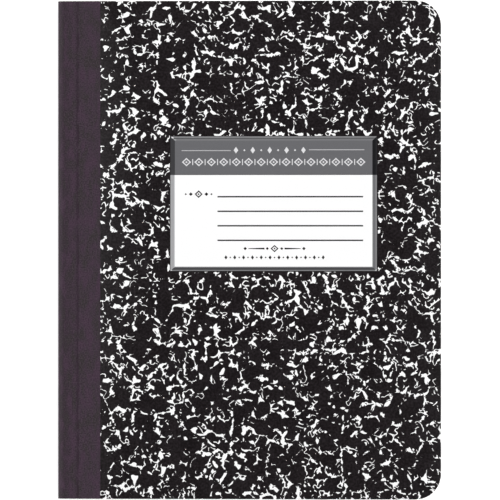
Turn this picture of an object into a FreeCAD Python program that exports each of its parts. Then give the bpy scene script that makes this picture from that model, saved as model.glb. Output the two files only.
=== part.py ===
"""Composition notebook, lying closed on its back cover.

Frame, in millimetres: X runs across the cover from the spine (-X) to the fore edge (+X),
Y runs along the spine with the head of the book at +Y, Z is the thickness. The origin is the
middle of the book's footprint, on the surface that it lies on.

How the real one is made: fifty double sheets and one card cover are stacked flat, sewn through the
middle with a lockstitch from head to tail, folded in two, covered over the fold with a cloth tape,
nipped flat in a press, and then trimmed on three sides with the two fore corners rounded.
So the pages are one folded block, the card is bedded 0.15 mm down under the tape, and the threads
run out to the trimmed head and tail. The card and the tape are each one strip in the real book;
each is parted here at the two fold lines beside the spine, because a cover turns there.
"""

import math
import os

import FreeCAD
import Part

V = FreeCAD.Vector

# ---------------------------------------------------------------- driving dimensions, mm
WIDTH = 190.5            # spine to fore edge, 7 1/2 in
HEIGHT = 247.65          # head to tail, 9 3/4 in
SHEETS = 100             # leaves, as 50 double sheets
LEAF = 0.080             # caliper of one leaf
CARD = 0.65              # cover card
TAPE = 0.15              # cloth tape over the spine
TAPE_FLAP = 21.2         # how far the tape reaches onto each cover, from the spine
FORE_R = 12.7            # rounded fore corners, 1/2 in
SPINE_R = 3.0            # outside radius of the spine's two long edges
FOLD_END = 3.0           # where the spine part of the card and tape ends
FOLD_GAP = 0.2           # parting at the fold line, so that a cover can turn
THREAD = 0.30            # sewing thread
PITCH = 8.0              # stitch length
HOLES = 31               # needle holes
LEG = 0.32               # half the distance between the two strands in a needle hole
BEND = 0.22              # bend of the needle thread where it goes into a hole

TEXT = SHEETS * LEAF                     # 8.0, thickness of the page block
THICK = TEXT + 2 * CARD                  # 9.3, thickness of the book
MID = THICK / 2
X0 = -WIDTH / 2                          # outside face of the spine
X1 = WIDTH / 2                           # fore edge
HALF_H = HEIGHT / 2
CARD_R = SPINE_R - TAPE                  # outside radius of the card on the spine
BLOCK_R = SPINE_R - CARD                 # radius of the folded edges of the pages
FOLD_FACE = X0 + CARD                    # outside of the outermost folded sheet
FOLD_CENTRE = FOLD_FACE + (SHEETS / 2) * LEAF   # inside of the innermost fold, where the thread lies
LOOP_X = FOLD_CENTRE + THREAD / 2 + 0.05        # centre line of the bobbin thread
RUN_X = X0 + TAPE + THREAD / 2 + 0.005          # centre line of the needle thread's runs
START = X0 + FOLD_END + FOLD_GAP         # where a cover begins


# ---------------------------------------------------------------- helpers
def face_xz(edges):
    """A face in the XZ plane at the tail (y = -HALF_H), from edges given there."""
    return Part.Face(Part.Wire(edges))


def pt(x, z, y=-HALF_H):
    return V(x, y, z)


def line(a, b):
    return Part.LineSegment(a, b).toShape()


def arc(a, m, b):
    return Part.Arc(a, m, b).toShape()


def along_book(face):
    return face.extrude(V(0, HEIGHT, 0))


def quarter(cx, cz, r, a0, a1):
    """An arc about (cx, cz) in the XZ plane at the tail, from angle a0 to a1 in degrees."""
    p = [pt(cx + r * math.cos(math.radians(a)), cz + r * math.sin(math.radians(a)))
         for a in (a0, (a0 + a1) / 2, a1)]
    return arc(*p)


def trim_outline():
    """The trimmed outline of the whole book, taller than it: square at the spine, round at the fore corners."""
    k = FORE_R * (1 - math.sqrt(0.5))
    lo, hi, x1, r = -HALF_H, HALF_H, X1, FORE_R
    p = lambda x, y: V(x, y, -1)
    edges = [
        line(p(X0 - 1, lo), p(x1 - r, lo)),
        arc(p(x1 - r, lo), p(x1 - k, lo + k), p(x1, lo + r)),
        line(p(x1, lo + r), p(x1, hi - r)),
        arc(p(x1, hi - r), p(x1 - k, hi - k), p(x1 - r, hi)),
        line(p(x1 - r, hi), p(X0 - 1, hi)),
        line(p(X0 - 1, hi), p(X0 - 1, lo)),
    ]
    return Part.Face(Part.Wire(edges)).extrude(V(0, 0, THICK + 2))


OUTLINE = trim_outline()


def wrap(outer_x, outer_r, thick, end_x):
    """A strip folded round the spine: outside face at outer_x, with thickness thick, its two ends at end_x."""
    inner_x, inner_r = outer_x + thick, outer_r - thick
    off = outer_x - X0
    zo0, zo1 = off, THICK - off              # outside faces, bottom and top
    zi0, zi1 = zo0 + thick, zo1 - thick      # inside faces
    cx = outer_x + outer_r
    edges = [
        line(pt(end_x, zo0), pt(cx, zo0)) if end_x - cx > 1e-6 else None,
        quarter(cx, zo0 + outer_r, outer_r, 270, 180),
        line(pt(outer_x, zo0 + outer_r), pt(outer_x, zo1 - outer_r)),
        quarter(cx, zo1 - outer_r, outer_r, 180, 90),
        line(pt(cx, zo1), pt(end_x, zo1)) if end_x - cx > 1e-6 else None,
        line(pt(end_x, zo1), pt(end_x, zi1)),
        line(pt(end_x, zi1), pt(cx, zi1)) if end_x - cx > 1e-6 else None,
        quarter(cx, zi1 - inner_r, inner_r, 90, 180),
        line(pt(inner_x, zi1 - inner_r), pt(inner_x, zi0 + inner_r)),
        quarter(cx, zi0 + inner_r, inner_r, 180, 270),
        line(pt(cx, zi0), pt(end_x, zi0)) if end_x - cx > 1e-6 else None,
        line(pt(end_x, zi0), pt(end_x, zo0)),
    ]
    return along_book(face_xz([e for e in edges if e is not None]))


# ---------------------------------------------------------------- sewing
STITCH_Y = [(i - (HOLES - 1) / 2) * PITCH for i in range(HOLES)]


def needle_path():
    """Centre line of the needle thread: runs under the tape, and at each hole a loop through the
    folds that passes round the bobbin thread and comes back up the same hole."""
    edges, side, y = [], 1, -HALF_H
    s = math.sqrt(0.5)
    for y0 in STITCH_Y:
        za, zb = MID + side * LEG, MID - side * LEG
        # run, then down into the hole
        edges.append(line(V(RUN_X, y, za), V(RUN_X, y0 - BEND, za)))
        edges.append(arc(V(RUN_X, y0 - BEND, za),
                         V(RUN_X + BEND * (1 - s), y0 - BEND * (1 - s), za),
                         V(RUN_X + BEND, y0, za)))
        edges.append(line(V(RUN_X + BEND, y0, za), V(LOOP_X, y0, za)))
        # round the bobbin thread and back
        edges.append(arc(V(LOOP_X, y0, za), V(LOOP_X + LEG, y0, MID), V(LOOP_X, y0, zb)))
        edges.append(line(V(LOOP_X, y0, zb), V(RUN_X + BEND, y0, zb)))
        edges.append(arc(V(RUN_X + BEND, y0, zb),
                         V(RUN_X + BEND * (1 - s), y0 + BEND * (1 - s), zb),
                         V(RUN_X, y0 + BEND, zb)))
        y, side = y0 + BEND, -side
    edges.append(line(V(RUN_X, y, MID + side * LEG), V(RUN_X, HALF_H, MID + side * LEG)))
    return Part.Wire(edges)


def needle_thread():
    path = needle_path()
    start = path.Edges[0].Vertexes[0].Point
    ring = Part.Wire(Part.makeCircle(THREAD / 2, V(RUN_X, -HALF_H, MID + LEG), V(0, 1, 0)))
    body = path.makePipeShell([ring], True, False)
    want = math.pi * (THREAD / 2) ** 2 * path.Length
    print("needle thread", round(path.Length, 1), "mm long, volume", round(body.Volume, 3),
          "of", round(want, 3), "valid", body.isValid(), "start", start)
    return body


def bobbin_thread():
    return Part.makeCylinder(THREAD / 2, HEIGHT, V(LOOP_X, -HALF_H, MID), V(0, 1, 0))


def needle_holes(x_from, x_to):
    """The punched needle holes, as a list of cutters."""
    wide, tall = 2 * (BEND + 0.02), 2 * (LEG + THREAD / 2 + 0.03)
    return [Part.makeBox(x_to - x_from, wide, tall, V(x_from, y0 - wide / 2, MID - tall / 2))
            for y0 in STITCH_Y]


def fold_hollow():
    """The drop-shaped hollow inside the innermost fold, where the bobbin thread lies."""
    r = LOOP_X - FOLD_CENTRE
    tip = V(LOOP_X + 1.6, -HALF_H, MID)
    a = math.acos(r / 1.6)
    up = V(LOOP_X + r * math.cos(a), -HALF_H, MID + r * math.sin(a))
    dn = V(LOOP_X + r * math.cos(a), -HALF_H, MID - r * math.sin(a))
    edges = [line(tip, up), arc(up, V(LOOP_X - r, -HALF_H, MID), dn), line(dn, tip)]
    return along_book(Part.Face(Part.Wire(edges)))


# ---------------------------------------------------------------- pieces
def page_block():
    lo, hi, r, xs = CARD, THICK - CARD, BLOCK_R, FOLD_FACE
    edges = [
        line(pt(X1, lo), pt(xs + r, lo)),
        quarter(xs + r, lo + r, r, 270, 180),
        line(pt(xs, lo + r), pt(xs, hi - r)),
        quarter(xs + r, hi - r, r, 180, 90),
        line(pt(xs + r, hi), pt(X1, hi)),
        line(pt(X1, hi), pt(X1, lo)),
    ]
    block = along_book(face_xz(edges)).common(OUTLINE)
    depth = LOOP_X + LEG + THREAD / 2 + 0.03
    return block.cut(needle_holes(xs - 0.5, depth) + [fold_hollow()])


def cover_spine():
    strip = wrap(X0 + TAPE, CARD_R, CARD - TAPE, X0 + FOLD_END)
    tall = 2 * (LEG + THREAD / 2 + 0.03)
    channel = Part.makeBox(THREAD + 0.01 + 0.5, HEIGHT, tall,
                           V(X0 + TAPE - 0.5, -HALF_H, MID - tall / 2))
    return strip.cut([channel] + needle_holes(X0, FOLD_FACE + 0.5))


def cover(top):
    """One cover panel. It is 0.15 mm thinner where the tape is pressed into it."""
    step = X0 + TAPE_FLAP
    if top:
        inner, outer, bed = THICK - CARD, THICK, THICK - TAPE
    else:
        inner, outer, bed = CARD, 0.0, TAPE
    pts = [(START, inner), (X1, inner), (X1, outer), (step, outer), (step, bed), (START, bed)]
    edges = [line(pt(*pts[i]), pt(*pts[(i + 1) % len(pts)])) for i in range(len(pts))]
    return along_book(face_xz(edges)).common(OUTLINE)


def tape_flap(top):
    z = THICK - TAPE if top else 0.0
    return Part.makeBox(TAPE_FLAP - FOLD_END - FOLD_GAP, HEIGHT, TAPE, V(START, -HALF_H, z))


def spine_tape():
    return wrap(X0, SPINE_R, TAPE, X0 + FOLD_END)


PIECES = {
    "page_block": page_block,
    "cover_spine": cover_spine,
    "front_cover": lambda: cover(True),
    "back_cover": lambda: cover(False),
    "spine_tape": spine_tape,
    "front_tape_flap": lambda: tape_flap(True),
    "back_tape_flap": lambda: tape_flap(False),
    "needle_thread": needle_thread,
    "bobbin_thread": bobbin_thread,
}


def main():
    os.makedirs("parts", exist_ok=True)
    for name, make in PIECES.items():
        shape = make()
        solids = shape.Solids
        if len(solids) != 1 or not shape.isValid():
            raise RuntimeError(f"{name}: {len(solids)} solids, valid {shape.isValid()}")
        solid = solids[0]
        b = solid.BoundBox
        print(f"{name}: {len(solid.Faces)} faces, {solid.Volume:.2f} mm3, "
              f"x {b.XMin:.3f}..{b.XMax:.3f} y {b.YMin:.3f}..{b.YMax:.3f} z {b.ZMin:.3f}..{b.ZMax:.3f}")
        solid.exportStep(f"parts/{name}.step")


main()
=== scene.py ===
"""Looks of the composition notebook: marbled card covers, cloth tape, ruled leaves and sewing thread.

Lengths are written in millimetres and turned into metres where a mesh is made. The covers and the tape
are laid out unrolled: s runs from the middle of the spine, round its edge and out to the fore edge,
y runs from tail to head, and d is the depth below the outside of the closed book.
"""

import math
import random

import bpy
import numpy as np
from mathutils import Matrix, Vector
from mathutils.geometry import delaunay_2d_cdt


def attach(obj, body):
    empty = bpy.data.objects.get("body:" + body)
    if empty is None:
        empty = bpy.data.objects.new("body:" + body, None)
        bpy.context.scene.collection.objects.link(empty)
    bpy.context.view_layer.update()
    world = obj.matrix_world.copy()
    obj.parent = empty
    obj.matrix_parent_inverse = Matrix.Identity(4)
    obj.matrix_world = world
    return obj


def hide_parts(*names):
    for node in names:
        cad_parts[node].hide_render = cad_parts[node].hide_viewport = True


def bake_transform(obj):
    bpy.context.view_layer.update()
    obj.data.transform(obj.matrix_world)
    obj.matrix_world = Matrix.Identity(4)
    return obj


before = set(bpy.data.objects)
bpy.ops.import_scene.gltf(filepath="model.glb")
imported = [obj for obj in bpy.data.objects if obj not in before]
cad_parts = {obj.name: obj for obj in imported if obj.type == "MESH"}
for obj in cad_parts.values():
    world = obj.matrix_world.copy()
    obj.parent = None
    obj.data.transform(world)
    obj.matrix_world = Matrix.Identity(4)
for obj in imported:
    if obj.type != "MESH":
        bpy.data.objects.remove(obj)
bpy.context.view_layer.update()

# ---------------------------------------------------------------- sizes, mm
W, H, T = 190.5, 247.65, 9.3
X0, HALF_H, MID = -W / 2, H / 2, T / 2
R = 3.0                       # outside radius of the spine's edges
CARD, TAPE_T = 0.65, 0.15
TAPE_FLAP = 21.2
FORE_R = 12.7
S1 = MID - R                  # flat part of half the spine
ARC = R * math.pi / 2
S_FLAT = S1 + ARC             # where the flat cover begins
SEED = 20
BENDS = 40                    # steps round a quarter turn


def s_of(u):
    """Unrolled distance of a point on the flat cover, from its distance u from the spine."""
    return S_FLAT + (u - R)


S_END = s_of(W)


def place(s, y, d, side):
    """A point of the wrapped cover: side is 1 for the front half and -1 for the back half."""
    if s <= S1:
        u, z = d, s
    elif s <= S_FLAT:
        a = (s - S1) / R
        u, z = R - (R - d) * math.cos(a), S1 + (R - d) * math.sin(a)
    else:
        u, z = R + (s - S_FLAT), S1 + R - d
    return (X0 + u, y, MID + side * z)


# ---------------------------------------------------------------- node helpers
def linear(c):
    """A colour of 0..255 as the screen shows it, as linear light."""
    out = []
    for v in c:
        v = v / 255
        out.append(v / 12.92 if v <= 0.04045 else ((v + 0.055) / 1.055) ** 2.4)
    return out


LIGHT = 1.146                 # how bright the lamps make a white surface that faces up


def paint(c, shine=0.0):
    """Base colour that shows as c under this scene's light, less what the gloss adds."""
    return [max(0.0005, v / LIGHT - shine) for v in linear(c)] + [1.0]


class Nodes:
    """Short names for the shader nodes that the materials use."""

    def __init__(self, name):
        self.mat = bpy.data.materials.new(name)
        self.mat.use_nodes = True
        self.tree = self.mat.node_tree
        self.tree.nodes.clear()
        self.out = self.tree.nodes.new("ShaderNodeOutputMaterial")
        self.bsdf = self.tree.nodes.new("ShaderNodeBsdfPrincipled")
        self.tree.links.new(self.bsdf.outputs[0], self.out.inputs[0])

    def new(self, kind, **kw):
        n = self.tree.nodes.new(kind)
        for k, v in kw.items():
            setattr(n, k, v)
        return n

    def put(self, socket, v):
        if isinstance(v, bpy.types.NodeSocket):
            self.tree.links.new(v, socket)
        else:
            socket.default_value = v

    def set(self, **kw):
        """Sets sockets of the shader; a space in a socket's name is written as _."""
        for k, v in kw.items():
            self.put(self.bsdf.inputs[k.replace("_", " ")], v)

    def attribute(self, name, out="Vector"):
        return self.new("ShaderNodeAttribute", attribute_name=name).outputs[out]

    def math(self, op, a, b=None, c=None):
        n = self.new("ShaderNodeMath", operation=op)
        for i, v in enumerate((a, b, c)):
            if v is not None:
                self.put(n.inputs[i], v)
        return n.outputs[0]

    def vec(self, op, a, b=None, scale=None):
        n = self.new("ShaderNodeVectorMath", operation=op)
        self.put(n.inputs[0], a)
        if b is not None:
            self.put(n.inputs[1], b)
        if scale is not None:
            self.put(n.inputs["Scale"], scale)
        return n.outputs[0]

    def noise(self, v, scale, detail=1.0, rough=0.5, colour=False, offset=None, dims="2D"):
        if offset is not None:
            v = self.vec("ADD", v, offset)
        n = self.new("ShaderNodeTexNoise", noise_dimensions=dims)
        self.put(n.inputs["Vector"], v)
        n.inputs["Scale"].default_value = scale
        n.inputs["Detail"].default_value = detail
        n.inputs["Roughness"].default_value = rough
        return n.outputs["Color" if colour else "Fac"]

    def voronoi(self, v, scale, feature="F1", rand=1.0):
        n = self.new("ShaderNodeTexVoronoi", voronoi_dimensions="2D", feature=feature)
        self.put(n.inputs["Vector"], v)
        n.inputs["Scale"].default_value = scale
        n.inputs["Randomness"].default_value = rand
        return n

    def remap(self, v, a, b, c, d, clamp=True, smooth=False):
        n = self.new("ShaderNodeMapRange", clamp=clamp)
        if smooth:
            n.interpolation_type = "SMOOTHSTEP"
        self.put(n.inputs["Value"], v)
        for k, x in zip(("From Min", "From Max", "To Min", "To Max"), (a, b, c, d)):
            self.put(n.inputs[k], x)
        return n.outputs["Result"]

    def xyz(self, v):
        n = self.new("ShaderNodeSeparateXYZ")
        self.put(n.inputs[0], v)
        return n.outputs

    def combine(self, x, y, z=0.0):
        n = self.new("ShaderNodeCombineXYZ")
        for i, v in enumerate((x, y, z)):
            self.put(n.inputs[i], v)
        return n.outputs[0]

    def mix(self, fac, a, b, blend="MIX"):
        n = self.new("ShaderNodeMix", data_type="RGBA", blend_type=blend)
        self.put(n.inputs[0], fac)
        self.put(n.inputs[6], a)
        self.put(n.inputs[7], b)
        return n.outputs[2]

    def bump(self, height, strength, distance_mm, normal=None):
        n = self.new("ShaderNodeBump")
        n.inputs["Strength"].default_value = strength
        n.inputs["Distance"].default_value = distance_mm * 0.001
        self.put(n.inputs["Height"], height)
        if normal is not None:
            self.put(n.inputs["Normal"], normal)
        return n.outputs[0]


# ---------------------------------------------------------------- marble pattern
def warped(n, v, scale, amount, offset):
    w = n.vec("SUBTRACT", n.noise(v, scale, 1.0, 0.5, colour=True, offset=offset), (0.5, 0.5, 0.5))
    return n.vec("ADD", v, n.vec("SCALE", w, scale=amount))


def drops(n, p, cell, offset, small, large, share, rand=1.0, channel=0.0):
    """Distance outside the nearest of many round drops of ink, in mm. A channel between two drops that
    is narrower than channel is closed."""
    p = n.vec("ADD", p, offset)

    def rim(feature):
        v = n.voronoi(p, 1 / cell, feature, rand)
        rgb = n.new("ShaderNodeSeparateColor")
        n.put(rgb.inputs[0], v.outputs["Color"])
        radius = n.remap(rgb.outputs[0], 0.0, 1.0, small / cell, large / cell)
        there = n.math("LESS_THAN", rgb.outputs[1], share)
        return n.math("SUBTRACT", v.outputs["Distance"], n.math("MULTIPLY", radius, there))

    near = rim("F1")
    if channel > 0:
        gap = n.math("SUBTRACT", n.math("ADD", near, rim("F2")), channel / cell)
        near = n.math("MINIMUM", near, gap)
    return n.math("MULTIPLY", near, cell)


def marble(n, v):
    """White veins left between round drops of black ink. v is in mm. Gives 0 on black and 1 on white."""
    v = n.vec("SCALE", v, scale=0.90)
    p = warped(n, v, 0.12, 3.0, (31.0, 77.0, 0.0))
    p = warped(n, p, 0.5, 0.5, (131.0, 7.0, 0.0))
    p = warped(n, p, 1.1, 0.2, (231.0, 57.0, 0.0))
    wall = n.math("MULTIPLY", n.voronoi(p, 1 / 5.5, "DISTANCE_TO_EDGE").outputs["Distance"], 5.5)
    width = n.remap(n.noise(v, 0.3, 0.0, offset=(301.0, 17.0, 0.0)), 0.25, 0.75, -0.1, 1.05, clamp=False)
    f = n.math("SUBTRACT", width, wall)
    f = n.math("SMOOTH_MIN", f, drops(n, p, 1.9, (11.3, 5.1, 0.0), 0.6, 1.1, 0.82, 0.9, 0.38), 0.12)
    f = n.math("SMOOTH_MIN", f, drops(n, p, 4.6, (41.3, 15.1, 0.0), 0.9, 2.1, 0.5), 0.15)
    # hairs: thin curved lines that come and go
    level = n.math("SUBTRACT", n.noise(p, 0.35, 0.0, offset=(611.0, 417.0, 0.0)), 0.5)
    hair = n.math("SUBTRACT", 0.52, n.math("MULTIPLY", n.math("ABSOLUTE", level), 9.0))
    where = n.remap(n.noise(v, 0.3, 0.0, offset=(711.0, 317.0, 0.0)), 0.50, 0.62, -1.2, 0.0)
    f = n.math("MAXIMUM", f, n.math("ADD", hair, where))
    thin = n.remap(n.noise(v, 0.3, 0.0, offset=(501.0, 217.0, 0.0)), 0.4, 0.65, -0.6, 0.36, clamp=False)
    f = n.math("MAXIMUM", f, n.math("SUBTRACT", thin, wall))
    # specks of bare card
    f = n.math("MAXIMUM", f, n.math("MULTIPLY", drops(n, p, 2.6, (91.3, 65.1, 0.0), 0.16, 0.42, 0.10), -1.0))
    f = n.math("SMOOTH_MIN", f, drops(n, p, 8.5, (71.3, 45.1, 0.0), 1.8, 3.5, 0.7), 0.2)
    # the white runs together in some places and thins out in others
    crowd = n.math("SUBTRACT", n.noise(v, 0.045, 1.0, 0.5, offset=(811.0, 517.0, 0.0)), 0.5)
    f = n.math("ADD", f, n.math("MULTIPLY", crowd, 0.55))
    return n.remap(f, 0.122, 0.137, 0.0, 1.0)


# ---------------------------------------------------------------- materials
SHINE = 0.0075                # what the gloss of the card adds to it
CLOTH_SHINE = 0.013           # the same for the tape


def card_surface(n, v):
    """Smooth coated card: a soft sheen with a very fine grain."""
    n.set(Roughness=n.remap(n.noise(v, 0.35, 2.0), 0.3, 0.7, 0.33, 0.40))
    n.set(Specular_IOR_Level=0.25)
    grain = n.noise(v, 3.2, 2.0, 0.6)
    n.set(Normal=n.bump(grain, 0.12, 0.02))


def marbled_card():
    n = Nodes("marbled_card")
    v = n.attribute("print_mm")
    cloud = n.math("ADD", n.math("MULTIPLY", n.noise(v, 0.9, 2.0, 0.6), 0.75), n.math("MULTIPLY", n.noise(v, 0.09, 2.0), 0.25))
    black = n.mix(n.remap(cloud, 0.40, 0.68, 0.0, 1.0), paint((28, 25, 26), SHINE), paint((46, 42, 44), SHINE))
    n.set(Base_Color=n.mix(marble(n, v), black, paint((254, 254, 254), SHINE)))
    card_surface(n, v)
    return n.mat


def printed(name, colour):
    """A flat field of printer's ink on the card, with a trace of unevenness."""
    n = Nodes(name)
    v = n.attribute("print_mm")
    deep = [max(0, c - 2) for c in colour]
    n.set(Base_Color=n.mix(n.remap(n.noise(v, 1.4, 2.0), 0.35, 0.65, 0.0, 1.0), paint(deep, SHINE), paint(colour, SHINE)))
    card_surface(n, v)
    return n.mat


def card_core():
    """The cut edge of the card: pale board with faint layers."""
    n = Nodes("card_core")
    v = n.attribute("print_mm")
    c = n.xyz(v)
    layers = n.noise(n.combine(n.math("MULTIPLY", c[2], 6.0), n.math("MULTIPLY", n.math("ADD", c[0], c[1]), 0.25)), 1.0, 3.0, 0.6)
    n.set(Base_Color=n.mix(n.remap(layers, 0.3, 0.7, 0.0, 1.0), paint((166, 160, 150)), paint((206, 201, 191))))
    n.set(Roughness=0.9, Specular_IOR_Level=0.2)
    n.set(Normal=n.bump(layers, 0.4, 0.05))
    return n.mat


def card_liner():
    """The uncoated inside of the cover."""
    n = Nodes("card_liner")
    v = n.attribute("print_mm")
    fibres = n.noise(v, 1.1, 4.0, 0.65)
    cloud = n.noise(v, 0.05, 2.0)
    base = n.mix(n.remap(cloud, 0.3, 0.7, 0.0, 1.0), paint((227, 224, 216)), paint((229, 226, 218)))
    n.set(Base_Color=n.mix(n.remap(fibres, 0.30, 0.42, 0.25, 0.0), base, paint((204, 199, 190))))
    n.set(Roughness=0.82, Specular_IOR_Level=0.25)
    n.set(Normal=n.bump(fibres, 0.15, 0.04))
    return n.mat


def cloth():
    """Dark plum book cloth: fine grain, slight mottling, painted shade that darkens it towards the spine, and a soft
    band of painted shade along the groove of the spine.
    """
    n = Nodes("book_cloth")
    v = n.attribute("print_mm")
    c = n.xyz(v)
    speck = n.noise(v, 1.5, 2.0, 0.7, offset=(77.0, 13.0, 0.0))
    # colour wanders between a warm plum and a greyer tone, in patches drawn out along the spine
    long = n.combine(n.math("MULTIPLY", c[0], 0.24), n.math("MULTIPLY", c[1], 0.10))
    tint = n.noise(long, 1.0, 3.0, 0.6, offset=(3.0, 8.0, 0.0))
    # painted shade: the cloth is darker towards the spine, where the cover slopes down to the spine's edge
    left = n.remap(c[0], s_of(0.5), s_of(11.0), 0.0, 1.0, smooth=True)
    plain = n.mix(left, paint((56, 47, 54), CLOTH_SHINE), paint((65, 55, 64), CLOTH_SHINE))
    plain = n.mix(n.remap(tint, 0.34, 0.50, 0.95, 0.0), plain, paint((57, 53, 54), CLOTH_SHINE))
    plain = n.mix(n.remap(tint, 0.50, 0.66, 0.0, 0.95), plain, paint((72, 56, 70), CLOTH_SHINE))
    dark = n.mix(n.remap(speck, 0.30, 0.50, 0.85, 0.0), plain, paint((51, 42, 49), CLOTH_SHINE))
    base = n.mix(n.remap(speck, 0.50, 0.72, 0.0, 0.85), dark, paint((80, 68, 77), CLOTH_SHINE))
    # painted shade along the groove: a soft dark band, sharper on its fore-edge side and broken along its length
    along = n.noise(n.combine(n.math("MULTIPLY", c[0], 0.3), n.math("MULTIPLY", c[1], 0.13)), 1.0, 3.0, 0.6, offset=(9.0, 4.0, 0.0))
    middle = n.math("ADD", s_of(9.6), n.math("MULTIPLY", n.math("SUBTRACT", along, 0.5), 1.2))
    away = n.math("SUBTRACT", c[0], middle)
    crease_shade = n.math("MINIMUM", n.remap(away, -1.3, 0.35, 0.0, 1.0, smooth=True), n.remap(away, 0.55, 1.1, 1.0, 0.0, smooth=True))
    crease_shade = n.math("MULTIPLY", crease_shade, n.remap(along, 0.30, 0.55, 0.1, 0.65))
    base = n.mix(crease_shade, base, paint((50, 39, 48), CLOTH_SHINE))
    n.set(Base_Color=base)
    n.set(Roughness=n.remap(speck, 0.3, 0.7, 0.60, 0.72), Specular_IOR_Level=0.22, Sheen_Weight=0.03, Sheen_Roughness=0.5)
    # weave: warp and weft threads, 0.42 mm apart, wandering a little
    w = warped(n, v, 0.7, 0.16, (5.0, 9.0, 0.0))
    t = n.xyz(w)
    pitch = 2 * math.pi / 0.42
    warp = n.math("SINE", n.math("MULTIPLY", t[0], pitch))
    weft = n.math("SINE", n.math("MULTIPLY", t[1], pitch))
    weave = n.math("MULTIPLY", warp, weft)
    normal = n.bump(weave, 0.10, 0.03)
    n.set(Normal=n.bump(speck, 0.10, 0.05, normal))
    return n.mat


def leaf_face(ruled):
    n = Nodes("leaf_ruled" if ruled else "leaf_plain")
    geo = n.new("ShaderNodeTexCoord").outputs["Object"]
    v = n.vec("SCALE", geo, scale=1000.0)
    fibres = n.noise(v, 0.9, 4.0, 0.65)
    base = n.mix(n.remap(fibres, 0.3, 0.7, 0.0, 1.0), paint((235, 233, 226)), paint((242, 240, 234)))
    if ruled:
        c = n.xyz(v)
        pitch, first = 8.73, HALF_H - 32.0
        down = n.math("SUBTRACT", first, c[1])                       # below the first rule
        near = n.math("ABSOLUTE", n.math("SUBTRACT", n.math("FRACT", n.math("ADD", n.math("DIVIDE", down, pitch), 0.5)), 0.5))
        rule = n.math("MULTIPLY", n.math("LESS_THAN", n.math("MULTIPLY", near, pitch), 0.16), n.math("GREATER_THAN", down, -0.5))
        faint = n.remap(n.noise(v, 0.5, 2.0), 0.3, 0.7, 0.65, 0.9)
        base = n.mix(n.math("MULTIPLY", rule, faint), base, paint((128, 168, 208)))
        margin = n.math("LESS_THAN", n.math("ABSOLUTE", n.math("SUBTRACT", c[0], X0 + 32.0)), 0.17)
        base = n.mix(n.math("MULTIPLY", margin, faint), base, paint((214, 128, 140)))
    n.set(Base_Color=base, Roughness=0.86, Specular_IOR_Level=0.25)
    n.set(Normal=n.bump(fibres, 0.12, 0.03))
    return n.mat


def leaf_edge():
    """Trimmed edges of the leaves: each leaf a little lighter or darker than the next."""
    n = Nodes("leaf_edge")
    tone = n.attribute("leaf_tone", "Fac")
    geo = n.new("ShaderNodeTexCoord").outputs["Object"]
    v = n.vec("SCALE", geo, scale=1000.0)
    fuzz = n.noise(v, 1.6, 3.0, 0.6, dims="3D")
    c = n.xyz(v)
    drag = n.noise(n.combine(n.math("MULTIPLY", n.math("ADD", c[0], c[1]), 0.9), n.math("MULTIPLY", c[2], 0.5)), 1.0, 3.0, 0.6)
    base = n.mix(tone, paint((214, 211, 203)), paint((246, 244, 238)))
    base = n.mix(n.remap(fuzz, 0.3, 0.7, 0.0, 0.35), base, paint((226, 223, 214)))
    base = n.mix(n.remap(drag, 0.35, 0.62, 0.25, 0.0), base, paint((204, 200, 190)))
    n.set(Base_Color=base, Roughness=0.9, Specular_IOR_Level=0.2)
    n.set(Normal=n.bump(fuzz, 0.15, 0.05))
    return n.mat


def cotton():
    """Twisted white thread."""
    n = Nodes("cotton_thread")
    geo = n.new("ShaderNodeTexCoord").outputs["Object"]
    v = n.vec("SCALE", geo, scale=1000.0)
    c = n.xyz(v)
    turn = n.math("ADD", n.math("ADD", n.math("MULTIPLY", c[0], 14.0), n.math("MULTIPLY", c[1], 9.0)), n.math("MULTIPLY", c[2], 14.0))
    ply = n.math("SINE", turn)
    fuzz = n.noise(v, 8.0, 3.0, 0.6, dims="3D")
    base = n.mix(n.remap(ply, -1.0, 1.0, 0.0, 1.0), paint((206, 202, 192)), paint((244, 242, 234)))
    n.set(Base_Color=n.mix(n.remap(fuzz, 0.3, 0.7, 0.0, 0.3), base, paint((222, 218, 208))))
    n.set(Roughness=0.85, Sheen_Weight=0.2, Sheen_Roughness=0.5)
    n.set(Normal=n.bump(ply, 0.25, 0.015))
    return n.mat


# ---------------------------------------------------------------- meshes
def piece(name, points_mm, faces, materials, which, smooth=None, points_print=None):
    me = bpy.data.meshes.new(name)
    me.from_pydata([tuple(0.001 * c for c in p) for p in points_mm], [], faces)
    for m in materials:
        me.materials.append(m)
    me.polygons.foreach_set("material_index", which)
    me.polygons.foreach_set("use_smooth", [bool(smooth)] * len(faces) if not hasattr(smooth, "__len__") else smooth)
    if points_print is not None:
        a = me.attributes.new("print_mm", "FLOAT_VECTOR", "POINT")
        a.data.foreach_set("vector", np.asarray(points_print, np.float32).ravel())
    me.validate()
    me.update()
    ob = bpy.data.objects.new(name, me)
    bpy.context.scene.collection.objects.link(ob)
    return ob


def bake_map(ob, corners):
    """Gives each corner of each face its place in the picture that the materials can be baked to."""
    flat = [c for face in corners for uv in face for c in uv]
    layer = ob.data.uv_layers.new(name="OFBake")
    assert len(flat) == 2 * len(ob.data.loops)
    layer.data.foreach_set("uv", flat)


def signed_area(poly):
    return 0.5 * sum(poly[i][0] * poly[(i + 1) % len(poly)][1] - poly[(i + 1) % len(poly)][0] * poly[i][1] for i in range(len(poly)))


def inside(points, poly):
    """Which of the points lie in a convex polygon."""
    if signed_area(poly) < 0:
        poly = poly[::-1]
    ok = np.ones(len(points), bool)
    for i in range(len(poly)):
        a, b = np.array(poly[i]), np.array(poly[(i + 1) % len(poly)])
        e, q = b - a, points - a
        ok &= e[0] * q[:, 1] - e[1] * q[:, 0] > -1e-9
    return ok


# ---------------------------------------------------------------- the printed label
LABEL = (56.05, 158.78, -10.35, 56.56)         # outside of its frame: u0, u1, y0, y1
FIELD = (58.30, 156.55, -8.26, 54.43)          # inside of its frame
BAND = 37.36                                   # foot of the grey heading band


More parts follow.
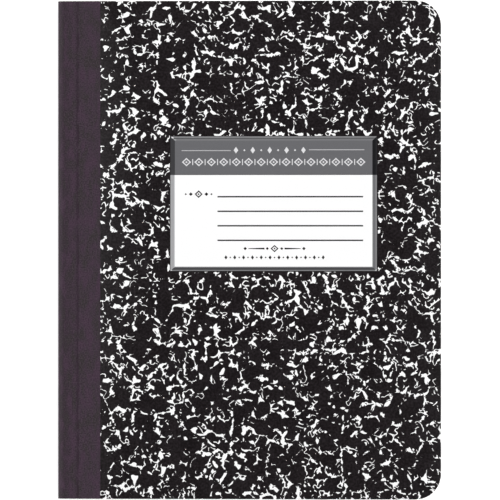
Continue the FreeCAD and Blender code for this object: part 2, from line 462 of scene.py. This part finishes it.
def rect(u0, u1, y0, y1):
    return [(u0, y0), (u1, y0), (u1, y1), (u0, y1)]


def lozenge(u, y, w, h):
    return [(u - w / 2, y), (u, y - h / 2), (u + w / 2, y), (u, y + h / 2)]


def label_shapes():
    """Convex shapes of the label in (u, y), with the ink of each. A later one lies over an earlier one."""
    out = []
    a0, a1, b0, b1 = LABEL
    i0, i1, j0, j1 = FIELD
    out.append((rect(a0 - 0.35, a1 + 0.5, b0 - 0.5, b1 + 0.3), "black"))

    def frame_strip(side, near, far, ink, lo=None, hi=None):
        """Part of a mitred frame side, between two fractions of its width from the outside."""
        def at(t):
            return (a0 + (i0 - a0) * t, a1 + (i1 - a1) * t, b0 + (j0 - b0) * t, b1 + (j1 - b1) * t)
        n, f = at(near), at(far)
        if side == "top":
            poly = [(n[0], n[3]), (n[1], n[3]), (f[1], f[3]), (f[0], f[3])]
        elif side == "bottom":
            poly = [(n[0], n[2]), (n[1], n[2]), (f[1], f[2]), (f[0], f[2])]
        elif side == "left":
            poly = [(n[0], n[2] if lo is None else lo), (n[0], n[3] if hi is None else hi), (f[0], f[3] if hi is None else hi), (f[0], f[2] if lo is None else lo)]
        else:
            poly = [(n[1], n[2] if lo is None else lo), (n[1], n[3] if hi is None else hi), (f[1], f[3] if hi is None else hi), (f[1], f[2] if lo is None else lo)]
        out.append((poly, ink))

    frame_strip("top", 0.0, 0.30, "grey_141")
    frame_strip("top", 0.30, 0.56, "grey_86")
    frame_strip("top", 0.56, 1.0, "grey_122")
    frame_strip("left", 0.0, 1.0, "grey_66", lo=BAND)
    frame_strip("right", 0.0, 0.26, "grey_49", lo=BAND)
    frame_strip("right", 0.26, 1.0, "grey_35", lo=BAND)
    frame_strip("left", 0.0, 0.80, "grey_167", hi=BAND)
    frame_strip("left", 0.80, 1.0, "grey_206", hi=BAND)
    frame_strip("right", 0.0, 0.25, "grey_143", hi=BAND)
    frame_strip("right", 0.25, 0.50, "grey_122", hi=BAND)
    frame_strip("right", 0.50, 0.80, "grey_109", hi=BAND)
    frame_strip("right", 0.80, 1.0, "grey_141", hi=BAND)
    frame_strip("bottom", 0.0, 0.25, "grey_129")
    frame_strip("bottom", 0.25, 0.74, "grey_73")
    frame_strip("bottom", 0.74, 1.0, "grey_122")
    # highlights on the mitres: two at the head and spine side, one at each corner of the foot
    out.append(([(a0 + 0.30, b1 - 0.30), (a0 + 1.15, b1 - 0.25), (a0 + 1.75, b1 - 0.65), (a0 + 1.55, b1 - 1.00), (a0 + 0.85, b1 - 0.95)], "light"))
    out.append(([(a0 + 1.35, b1 - 1.25), (a0 + 2.40, b1 - 1.30), (a0 + 3.10, b1 - 1.75), (a0 + 2.60, b1 - 2.05), (a0 + 2.05, b1 - 1.95)], "grey_167"))
    out.append(([(a0 + 0.05, b0 + 0.05), (a0 + 0.95, b0 + 0.05), (a0 + 0.60, b0 + 0.50), (a0 + 0.05, b0 + 0.85)], "grey_195"))
    out.append(([(a1 - 0.05, b0 + 0.05), (a1 - 0.05, b0 + 0.85), (a1 - 0.55, b0 + 0.80), (a1 - 1.10, b0 + 0.10)], "grey_195"))
    out.append((rect(i0, i1, BAND, j1), "heading"))
    out.append((rect(i0, i1, BAND, BAND + 0.45), "grey_99"))
    out.append((rect(i0, i1, j0, BAND), "white"))
    # heading: two short rules with a row of beads between them
    y = 49.7
    out.append((rect(61.6, 86.1, y - 0.37, y + 0.0), "grey_195"))
    out.append((rect(125.0, 152.6, y - 0.0, y + 0.37), "grey_195"))
    for k in range(9):
        big = k % 2 == 0
        out.append((lozenge(105.5 + (k - 4) * 4.2, y, 2.3 if big else 1.1, 3.3 if big else 1.1), "light"))
    # heading: a band of open lozenges
    y, n = 43.8, 15
    for k in range(n):
        u = 107.45 + (k - (n - 1) / 2) * 6.2
        out.append((lozenge(u, y, 4.6, 4.2), "light"))
        out.append((lozenge(u, y, 3.0, 2.7), "heading"))
        out.append((lozenge(u, y, 1.2, 1.1), "light"))
        if k < n - 1:
            out.append((rect(u + 3.1 - 0.22, u + 3.1 + 0.22, y - 1.5, y + 1.5), "light"))
    # writing rules
    for y in (26.55, 19.32, 12.09, 4.86):
        out.append((rect(79.5, 151.95, y - 0.355, y + 0.355), "ink"))
    # a small ornament before the first rule
    y = 27.85
    out.append((lozenge(70.1, y, 4.0, 3.8), "ink"))
    out.append((lozenge(70.1, y, 2.3, 2.2), "white"))
    out.append((lozenge(70.1, y, 1.1, 1.05), "ink"))
    for sgn in (-1, 1):
        out.append((lozenge(70.1 + sgn * 3.9, y, 1.9, 1.8), "ink"))
        out.append((lozenge(70.1 + sgn * 6.4, y, 1.1, 1.05), "ink"))
    # two ornaments at the foot
    y = 0.75
    out.append((lozenge(107.9, y, 4.0, 3.6), "ink"))
    out.append((lozenge(107.9, y, 2.4, 2.1), "white"))
    out.append((lozenge(107.9, y, 1.1, 1.0), "ink"))
    for sgn in (-1, 1):
        out.append((lozenge(107.9 + sgn * 3.6, y, 1.5, 1.5), "ink"))
        out.append(([(107.9 + sgn * 5.0, y + 0.42), (107.9 + sgn * 5.0, y - 0.42), (107.9 + sgn * 13.0, y - 0.16), (107.9 + sgn * 13.0, y + 0.16)], "ink"))
        out.append((lozenge(107.9 + sgn * 14.6, y, 1.7, 1.7), "ink"))
    for k in range(23):
        out.append((lozenge(107.9 + (k - 11) * 2.2, -3.65, 1.5 if k % 2 == 0 else 0.9, 2.1 if k % 2 == 0 else 0.9), "ink"))
    return [([((u - 95.7) * 0.9986 + 95.7, (y + 0.05) * 0.9986 - 0.125) for u, y in poly], ink) for poly, ink in out]


INKS = {
    "black": (34, 31, 32), "ink": (36, 33, 34), "white": (254, 254, 254), "light": (226, 226, 228), "heading": (108, 108, 111),
    **{f"grey_{v}": (v, v, v + 2) for v in (35, 49, 66, 73, 86, 99, 109, 122, 129, 141, 143, 167, 195, 206)},
}


# ---------------------------------------------------------------- covers
def outline(inset):
    """Points (s, y) round the trimmed cover from the spine at the tail to the spine at the head."""
    s_corner, y_corner = S_END - FORE_R, HALF_H - FORE_R
    run = [0.0, S1 / 2, S1] + [S1 + ARC * k / BENDS for k in range(1, BENDS + 1)]
    run += [s_of(u) for u in (3.3, 3.7, 4.4, 6.0, 9.0, 13.0, 17.0, 20.9, 21.25, 24.0, 40.0, 60.0, 85.0, 110.0, 135.0, 155.0, 170.0)]
    inset += 0.02
    pts = [(s, -HALF_H + inset) for s in run]
    r = FORE_R - inset
    for k in range(0, 15):
        a = math.radians(-90 + 90 * k / 14)
        pts.append((s_corner + r * math.cos(a), -y_corner + r * math.sin(a)))
    for y in (-90.0, -60.0, -30.0, 0.0, 30.0, 60.0, 90.0):
        pts.append((S_END - inset, y))
    for k in range(0, 15):
        a = math.radians(90 * k / 14)
        pts.append((s_corner + r * math.cos(a), y_corner + r * math.sin(a)))
    pts += [(s, HALF_H - inset) for s in reversed(run)]
    return pts, len(run)


def bed(s):
    """Depth of the card's outside: it is pressed down under the tape."""
    t = min(1.0, max(0.0, (s - s_of(20.9)) / (s_of(21.25) - s_of(20.9))))
    return TAPE_T * (1 - t)


def make_cover(name, side, inks):
    rings = [(0.10, 0.0, 0), (0.03, 0.025, 0), (0.0, 0.08, 0), (0.0, CARD - 0.05, 1), (0.04, CARD, 1)]
    points, prints, ids = [], [], []
    for inset, depth, fixed in rings:
        ring, nrun = outline(inset)
        row = []
        for s, y in ring:
            d = depth if fixed else bed(s) + depth
            row.append(len(points))
            points.append(place(s, y, d, side))
            prints.append((s, y, d))
        ids.append(row)
    n = len(ids[0])
    faces, which, corners = [], [], []
    names = ["marble", "core", "liner"]
    along = lambda y: 0.005 + (y + HALF_H) * 0.00396

    def add(face, ink, uv):
        if ink not in names:
            names.append(ink)
        faces.append(face if side > 0 else face[::-1])
        corners.append(uv if side > 0 else uv[::-1])
        which.append(names.index(ink))

    for r in range(len(rings) - 1):
        for i in range(n - 1):
            bare = r >= 2 or max(outline(0)[0][i][0], outline(0)[0][i + 1][0]) < s_of(21.0)
            ink = "core" if bare else "marble"
            uv = [(0.925 + 0.016 * a, 0.005 + 0.99 * b / (n - 1)) for a, b in ((r, i), (r + 1, i), (r + 1, i + 1), (r, i + 1))]
            add((ids[r][i], ids[r + 1][i], ids[r + 1][i + 1], ids[r][i + 1]), ink, uv)
    # where the two halves of the card meet, in the middle of the spine
    cut = tuple(ids[r][0] for r in reversed(range(len(rings)))) + tuple(ids[r][-1] for r in range(len(rings)))
    add(cut, "core", [(0.991 + 0.008 * prints[k][2] / CARD, along(prints[k][1])) for k in cut])

    def fill(ring, inset, lines, shapes, depth_of, up):
        """Fills an outline with triangles that follow the given lines and shapes."""
        flat, _ = outline(inset)
        verts = [Vector(p) for p in flat]
        edges = []
        for i in lines:
            edges.append((i, n - 1 - i))
        for poly, _ink in shapes:
            base = len(verts)
            verts += [Vector((s_of(u), y)) for u, y in poly]
            edges += [(base + i, base + (i + 1) % len(poly)) for i in range(len(poly))]
        vs, _, tris, origin, _, _ = delaunay_2d_cdt(verts, edges, [list(range(n))], 1, 1e-3)
        index = []
        for v, o in zip(vs, origin):
            on_ring = [i for i in o if i < n]
            if on_ring:
                index.append(ring[on_ring[0]])
            else:
                index.append(len(points))
                points.append(place(v.x, v.y, depth_of(v.x), side))
                prints.append((v.x, v.y, depth_of(v.x)))
        mids = np.array([[sum(vs[i].x for i in t) / 3 - S_FLAT + R, sum(vs[i].y for i in t) / 3] for t in tris])
        ink = np.full(len(tris), -1)
        for k, (poly, _) in enumerate(shapes):
            ink[inside(mids, poly)] = k
        for t, k in zip(tris, ink):
            area = signed_area([(vs[i].x, vs[i].y) for i in t])
            t = tuple(index[i] for i in (t if area > 0 else t[::-1]))
            if len(set(t)) == 3:
                t = t if up else t[::-1]
                uv = [(0.005 + prints[i][0] * 0.00396 if up else 0.785 + prints[i][0] * 0.00066, along(prints[i][1])) for i in t]
                add(t, shapes[k][1] if k >= 0 else ("marble" if up else "liner"), uv)

    bent = list(range(1, nrun - 9)) + [nrun - 9]
    fill(ids[0], rings[0][0], bent, inks, bed, True)
    fill(ids[-1], rings[-1][0], bent, [], lambda s: CARD, False)
    prints = [(p[0] + 600, p[1] + 400, p[2]) if side > 0 else (500 - p[0], p[1] + 400, p[2]) for p in prints]
    mats = [MATS[k] for k in names]
    ob = piece(name, points, faces, mats, which, True, prints)
    bake_map(ob, corners)
    sharpen(ob, 25)
    return ob


def sharpen(ob, degrees):
    """Marks edges sharper than an angle, so that only gentle bends are shaded smoothly."""
    me = ob.data
    faces_of = {}
    for p in me.polygons:
        for k in p.edge_keys:
            faces_of.setdefault(k, []).append(p.index)
    limit = math.cos(math.radians(degrees))
    sharp = []
    for e in me.edges:
        f = faces_of.get(e.key, [])
        sharp.append(len(f) == 2 and me.polygons[f[0]].normal.dot(me.polygons[f[1]].normal) < limit)
    a = me.attributes.get("sharp_edge") or me.attributes.new("sharp_edge", "BOOLEAN", "EDGE")
    a.data.foreach_set("value", sharp)


# ---------------------------------------------------------------- tape
def soft_noise(seed, nx, ny, passes):
    g = np.random.default_rng(seed).normal(size=(nx, ny))
    for _ in range(passes):
        g = (np.roll(g, 1, 0) + np.roll(g, -1, 0) + np.roll(g, 1, 1) + np.roll(g, -1, 1) + 2 * g) / 6
    return g / max(1e-9, np.abs(g).max())


def make_tape(name, side):
    s_list = [0.0, S1 / 2, S1] + [S1 + ARC * k / BENDS for k in range(1, BENDS + 1)]
    s_edge = s_of(TAPE_FLAP)
    s_list += list(np.linspace(S_FLAT, s_edge - 0.05, 34)[1:]) + [s_edge - 0.015, s_edge]
    end = HALF_H - 0.01
    y_list = [-end, -end + 0.015, -end + 0.06] + list(np.linspace(-end + 0.06, end - 0.06, 110)[1:]) + [end - 0.015, end]
    ns, ny = len(s_list), len(y_list)
    wave = soft_noise(SEED + (1 if side > 0 else 2), ns, ny, 14)
    fine = soft_noise(SEED + (3 if side > 0 else 4), ns, ny, 2)
    wave[0] = fine[0] = 0                       # the two halves meet in a straight line
    points, prints = [], []
    for layer in (0, 1):
        for i, s in enumerate(s_list):
            u = s - S_FLAT + R
            for j, y in enumerate(y_list):
                if layer == 0:
                    proud = 0.07
                    if side < 0:
                        proud = 0.07 * min(1.0, max(0.0, (2.2 - u) / 1.5))       # pressed flat where the book lies on it
                    d = -proud
                    if side > 0 or u < 0.5:
                        d -= 0.006 * wave[i, j] + 0.004 * fine[i, j]
                    groove = math.exp(-((u - 9.5 - 0.25 * wave[min(30, ns - 1), j]) / 1.0) ** 2)
                    d += (0.04 if side > 0 else 0.02) * groove
                    # rolled edges
                    if i == ns - 1:
                        d += 0.05 if side > 0 else 0.03
                    elif i == ns - 2:
                        d += 0.015
                    if j in (0, ny - 1):
                        d += 0.04 if side > 0 else 0.02
                    if side < 0:
                        d = max(d, 0.0) if u > 2.9 else d
                else:
                    d = TAPE_T
                points.append(place(s, y, d, side))
                prints.append((s, y, d))
    at = lambda layer, i, j: layer * ns * ny + i * ny + j
    faces, corners = [], []

    def add(places, start, across, deep):
        """A face from its (layer, i, j) places. start is where its kind begins in the bake map, across its width
        for the whole tape, and deep its width for the tape's thickness."""
        faces.append(tuple(at(*q) for q in places))
        corners.append([(start + across * s_list[i] / s_edge + deep * layer, 0.005 + (y_list[j] + HALF_H) * 0.00396) for layer, i, j in places])

    for i in range(ns - 1):
        for j in range(ny - 1):
            add(((0, i, j), (0, i + 1, j), (0, i + 1, j + 1), (0, i, j + 1)), 0.005, 0.6, 0.0)
            add(((1, i, j), (1, i, j + 1), (1, i + 1, j + 1), (1, i + 1, j)), 0.615, 0.28, 0.0)
    for j in range(ny - 1):
        add(((0, 0, j), (0, 0, j + 1), (1, 0, j + 1), (1, 0, j)), 0.905, 0.0, 0.015)
        add(((0, ns - 1, j), (1, ns - 1, j), (1, ns - 1, j + 1), (0, ns - 1, j + 1)), 0.925, 0.0, 0.015)
    for i in range(ns - 1):
        for j, turned in ((0, False), (ny - 1, True)):
            places = [(0, i, j), (1, i, j), (1, i + 1, j), (0, i + 1, j)]
            places = [places[0]] + places[:0:-1] if turned else places
            faces.append(tuple(at(*q) for q in places))
            corners.append([((0.972 if turned else 0.950) + 0.015 * q[0], 0.005 + 0.99 * s_list[q[1]] / s_edge) for q in places])
    if side < 0:
        faces = [f[::-1] for f in faces]
        corners = [c[::-1] for c in corners]
        prints = [(p[0], p[1] + 300.0, p[2]) for p in prints]
    ob = piece(name, points, faces, [MATS["cloth"]], [0] * len(faces), True, prints)
    bake_map(ob, corners)
    sharpen(ob, 50)
    return ob


# ---------------------------------------------------------------- leaves
def make_leaves(name, sheets, seed):
    """Double sheets, folded and nested one in another, and trimmed together. Sheet 49 is the outermost."""
    rng = random.Random(seed)
    leaf, sheet = 0.08, 0.074
    points, faces, which, tones, smooth, corners = [], [], [], [], [], []
    u_round = W - FORE_R

    def half_height(u):
        return HALF_H if u <= u_round else HALF_H - FORE_R + math.sqrt(max(0.0, FORE_R ** 2 - (u - u_round) ** 2))

    for k in sheets:
        tone = min(1.0, max(0.0, 0.62 + 0.3 * math.sin(k * 0.9 + 1.3 * math.sin(k * 0.31)) + rng.uniform(-0.4, 0.4)))
        tone2 = min(1.0, max(0.0, tone + rng.uniform(-0.3, 0.3)))
        back_u, back_y = rng.uniform(0.02, 0.10), rng.uniform(0.02, 0.07)
        back_u2 = rng.uniform(0.02, 0.10)
        first = len(points)
        rows = 0
        for layer in (0, 1):
            d = CARD + (49 - k) * leaf + 0.003 + (sheet if layer else 0.0)
            hz = MID - d
            r = min(max(R - d, 0.12), hz * 0.98)
            path = []

            def leg(sign, out):
                end = W - (back_u if sign > 0 else back_u2)
                us = [u_round + (end - u_round) * math.sin(math.radians(90 * i / 11)) for i in range(11, -1, -1)]
                us += [150.0, 110.0, 70.0, 30.0, 12.0, d + r + 0.6, d + r]
                for u in us:
                    out.append((u, sign * hz, sign))

            top, low = [], []
            leg(1, top)
            leg(-1, low)
            path = top
            for i in range(1, 6):
                a = math.radians(90 + 90 * i / 6)
                path.append((d + r + r * math.cos(a), hz - r + r * math.sin(a), 1))
            path.append((d, hz - r, 1))
            path.append((d, 0.0, 0))
            path.append((d, -(hz - r), -1))
            for i in range(1, 6):
                a = math.radians(180 + 90 * i / 6)
                path.append((d + r + r * math.cos(a), -(hz - r) + r * math.sin(a), -1))
            path += low[::-1]
            rows = len(path)
            for u, z, sign in path:
                h = half_height(u + (back_u if sign > 0 else back_u2 if sign < 0 else 0.0)) - back_y if u > u_round else HALF_H - back_y
                for y in (-h, h):
                    points.append((X0 + u, y, MID + z))
                    tones.append(tone if sign >= 0 else tone2)
        at = lambda layer, i, end: first + (layer * rows + i) * 2 + end
        outer = k == 49
        # how far along the folded sheet each row is, from 0 to 1
        steps = [0.0]
        for i in range(rows - 1):
            a, b = points[at(0, i, 0)], points[at(0, i + 1, 0)]
            steps.append(steps[-1] + math.hypot(b[0] - a[0], b[2] - a[2]))
        steps = [q / steps[-1] for q in steps]

        def add(places, mat, band, deep, tall):
            """A face from its (layer, row, end) places. band is where its kind begins in the bake map, deep its
            height for the sheet's thickness, and tall its height from the tail to the head of the book."""
            faces.append(tuple(at(*q) for q in places))
            if mat == 2 and places[0][1] == places[2][1]:                 # a fore edge runs from tail to head
                corners.append([(0.005 + 0.99 * (points[at(*q)][1] + HALF_H) / (2 * HALF_H), band + deep * q[0]) for q in places])
            else:
                corners.append([(0.005 + 0.99 * steps[q[1]], band + deep * q[0] + tall * (points[at(*q)][1] + HALF_H) / (2 * HALF_H)) for q in places])
            which.append(mat)
            smooth.append(mat != 2)

        for i in range(rows - 1):
            add(((0, i, 0), (0, i, 1), (0, i + 1, 1), (0, i + 1, 0)), 1 if outer else 0, 0.005 if outer else 0.90, 0.0, 0.64 if outer else 0.045)
            add(((1, i, 0), (1, i + 1, 0), (1, i + 1, 1), (1, i, 1)), 0, 0.655 if outer else 0.95, 0.0, 0.30 if outer else 0.045)
            add(((0, i, 0), (0, i + 1, 0), (1, i + 1, 0), (1, i, 0)), 2, 0.962 if outer else 0.005 + 0.0068 * k, 0.005, 0.0)
            add(((0, i, 1), (1, i, 1), (1, i + 1, 1), (0, i + 1, 1)), 2, 0.970 if outer else 0.345 + 0.0068 * k, 0.005, 0.0)
        add(((0, 0, 0), (1, 0, 0), (1, 0, 1), (0, 0, 1)), 2, 0.978 if outer else 0.685 + 0.0042 * k, 0.005 if outer else 0.0016, 0.0)
        last = rows - 1
        add(((0, last, 1), (1, last, 1), (1, last, 0), (0, last, 0)), 2, 0.986 if outer else 0.6872 + 0.0042 * k, 0.005 if outer else 0.0016, 0.0)
    ob = piece(name, points, faces, [MATS["leaf_plain"], MATS["leaf_ruled"], MATS["leaf_edge"]], which, smooth)
    bake_map(ob, corners)
    sharpen(ob, 40)
    a = ob.data.attributes.new("leaf_tone", "FLOAT", "POINT")
    a.data.foreach_set("value", np.asarray(tones, np.float32))
    return ob


# ---------------------------------------------------------------- build
MATS = {"marble": marbled_card(), "core": card_core(), "liner": card_liner(), "cloth": cloth(),
        "leaf_plain": leaf_face(False), "leaf_ruled": leaf_face(True), "leaf_edge": leaf_edge()}
for ink, colour in INKS.items():
    MATS[ink] = printed("print_" + ink, colour)

front = make_cover("front_cover_card", 1, label_shapes())
back = make_cover("back_cover_card", -1, [])
front_tape = make_tape("front_tape_cloth", 1)
back_tape = make_tape("back_tape_cloth", -1)
leaves = make_leaves("leaves", range(49), SEED)
outer_leaves = make_leaves("outer_leaves", [49], SEED + 1)

for ob in (front, front_tape):
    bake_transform(ob)
for ob in (back, back_tape):
    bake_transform(ob)
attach(leaves, "text_block")
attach(outer_leaves, "text_block")
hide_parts("front_cover", "cover_spine")
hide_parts("back_cover")
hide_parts("front_tape_flap", "spine_tape")
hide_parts("back_tape_flap")
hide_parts("page_block")
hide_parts("page_block")

thread = cotton()
for node in ("needle_thread", "bobbin_thread"):
    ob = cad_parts[node]
    ob.data.materials.clear()
    ob.data.materials.append(thread)

# ---------------------------------------------------------------- stage
def floor_material():
    n = Nodes("floor")
    geo = n.new("ShaderNodeTexCoord").outputs["Object"]
    n.set(Base_Color=n.mix(n.remap(n.noise(geo, 3.0, 2.0), 0.3, 0.7, 0.0, 1.0), (0.885, 0.885, 0.885, 1), (0.895, 0.895, 0.895, 1)))
    n.set(Roughness=0.95, Specular_IOR_Level=0.1, Emission_Color=(1, 1, 1, 1), Emission_Strength=0.35)
    return n.mat


FLOOR = -0.00035                # below the outside of the back cover's hinge when it is folded open
me = bpy.data.meshes.new("floor")
me.from_pydata([(-40, -40, FLOOR), (40, -40, FLOOR), (40, 40, FLOOR), (-40, 40, FLOOR)], [], [(0, 1, 2, 3)])
me.materials.append(floor_material())
floor = bpy.data.objects.new("floor", me)
bpy.context.scene.collection.objects.link(floor)

world = bpy.data.worlds.new("studio")
bpy.context.scene.world = world
world.use_nodes = True
world.node_tree.nodes["Background"].inputs["Color"].default_value = (1, 1, 1, 1)
world.node_tree.nodes["Background"].inputs["Strength"].default_value = 0.16


def lamp(name, where, size, watts):
    data = bpy.data.lights.new(name, "AREA")
    data.shape = "RECTANGLE"
    data.size, data.size_y = size
    data.energy = watts
    ob = bpy.data.objects.new(name, data)
    ob.location = where
    ob.rotation_mode = "QUATERNION"
    ob.rotation_quaternion = (Vector((0, 0, 0)) - Vector(where)).to_track_quat("-Z", "Y")
    bpy.context.scene.collection.objects.link(ob)


lamp("left_softbox", (-1.9, 0.25, 1.3), (1.4, 1.2), 42)
lamp("right_softbox", (1.9, 0.25, 1.3), (1.4, 1.2), 38)
lamp("head_softbox", (0.0, 2.1, 1.3), (1.8, 1.0), 18)
lamp("tail_softbox", (0.0, -2.1, 1.3), (1.8, 1.0), 16)

# The photograph looks straight down on the front cover, 0.4968 mm to a pixel.
PX = 0.0004968
cam = bpy.data.cameras.new("camera")
cam.lens = 300.0
cam.sensor_width = 36.0
cam_ob = bpy.data.objects.new("camera", cam)
bpy.context.scene.collection.objects.link(cam_ob)
distance = (500 * PX / 2) / (cam.sensor_width / 2 / cam.lens)
TILT = math.radians(2.1)       # the fore edge is a touch nearer to the lens
cam_ob.location = (0.9 * PX + math.sin(TILT) * distance, -0.05 * PX, T * 0.001 + math.cos(TILT) * distance)
cam_ob.rotation_euler = (0.0, TILT, 0.0)
cam.clip_start, cam.clip_end = 0.01, 50.0
bpy.context.scene.camera = cam_ob
bpy.context.scene.view_settings.view_transform = "Standard"
